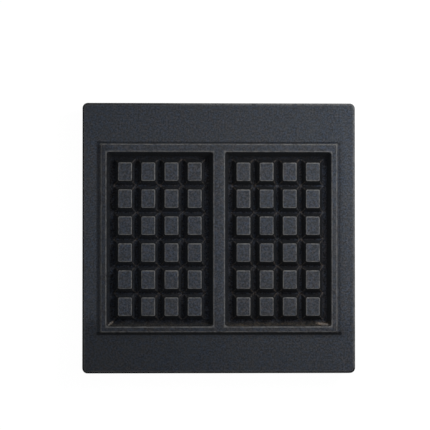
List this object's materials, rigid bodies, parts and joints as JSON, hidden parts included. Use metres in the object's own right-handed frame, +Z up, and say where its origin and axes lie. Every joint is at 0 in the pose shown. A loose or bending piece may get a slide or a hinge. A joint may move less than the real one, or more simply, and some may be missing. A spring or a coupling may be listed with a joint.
{
  "type": "waffle iron baking plate",
  "caption": "Square cast lower baking plate of a waffle iron, with sunk pockets of tapered pegs and a clamped tube heater, thermostat and cut-out underneath.",
  "frame": {"origin": "under the plate's centre, level with the feet of the mounting pillars", "axes": "+Z up out of the baking face, +X to the right and +Y to the back, where the heater's terminals are"},
  "size_m": [0.257, 0.2544, 0.038],
  "materials": {
    "cast_iron": "seasoned matte black casting",
    "heater_steel": "heat-darkened drawn tube",
    "zinc_steel": "zinc-plated steel",
    "aluminium": "pressed cap",
    "bimetal": "rolled bimetal strip",
    "brass": "plain brass",
    "steatite": "unglazed ceramic",
    "blackened_steel": "blackened turned steel",
    "red_plastic": "moulded button"
  },
  "bodies": {
    "body": {"baking_plate": "cast_iron", "heating_element": "heater_steel", "terminal_bush_left": "steatite", "terminal_pin_left": "zinc_steel", "terminal_washer_left": "zinc_steel", "terminal_nut_left": "brass", "cutout_tab_left": "brass", "terminal_bush_right": "steatite", "terminal_pin_right": "zinc_steel", "terminal_washer_right": "zinc_steel", "terminal_nut_right": "brass", "cutout_tab_right": "brass", "clamp_bar_front": "zinc_steel", "cutout_screw_front": "zinc_steel", "clamp_bar_rear": "zinc_steel", "cutout_screw_rear": "zinc_steel", "clamp_screw_front_left": "zinc_steel", "clamp_washer_front_left": "zinc_steel", "clamp_screw_front_centre": "zinc_steel", "clamp_washer_front_centre": "zinc_steel", "clamp_screw_front_right": "zinc_steel", "clamp_washer_front_right": "zinc_steel", "clamp_screw_rear_left": "zinc_steel", "clamp_washer_rear_left": "zinc_steel", "clamp_screw_rear_centre": "zinc_steel", "clamp_washer_rear_centre": "zinc_steel", "clamp_screw_rear_right": "zinc_steel", "clamp_washer_rear_right": "zinc_steel", "thermostat_frame": "zinc_steel", "thermostat_bimetal": "bimetal", "thermostat_leaf_upper": "brass", "thermostat_leaf_lower": "brass", "thermostat_insulator_upper": "steatite", "thermostat_insulator_middle": "steatite", "thermostat_insulator_lower": "steatite", "thermostat_rivet": "zinc_steel", "thermostat_bead": "steatite", "thermostat_nut": "brass", "thermostat_screw": "zinc_steel", "cutout_cap": "aluminium", "cutout_strap": "zinc_steel", "cutout_body": "steatite", "earth_stud": "zinc_steel", "earth_tab": "brass", "earth_washer": "zinc_steel", "earth_nut": "brass"},
    "spindle": {"thermostat_spindle": "blackened_steel"},
    "button": {"reset_button": "red_plastic"}
  },
  "joints": [
    {"name": "thermostat_spindle_turn", "type": "hinge", "parent": "body", "child": "spindle", "pos_m": [0, -0.004, 0.005], "axis": [0, 0, 1], "range_deg": [-140, 140]},
    {"name": "reset_button_press", "type": "slide", "parent": "body", "child": "button", "axis": [0, 0, 1], "range_m": [0, 0.0012], "stiffness_N_per_m": 600}
  ]
}
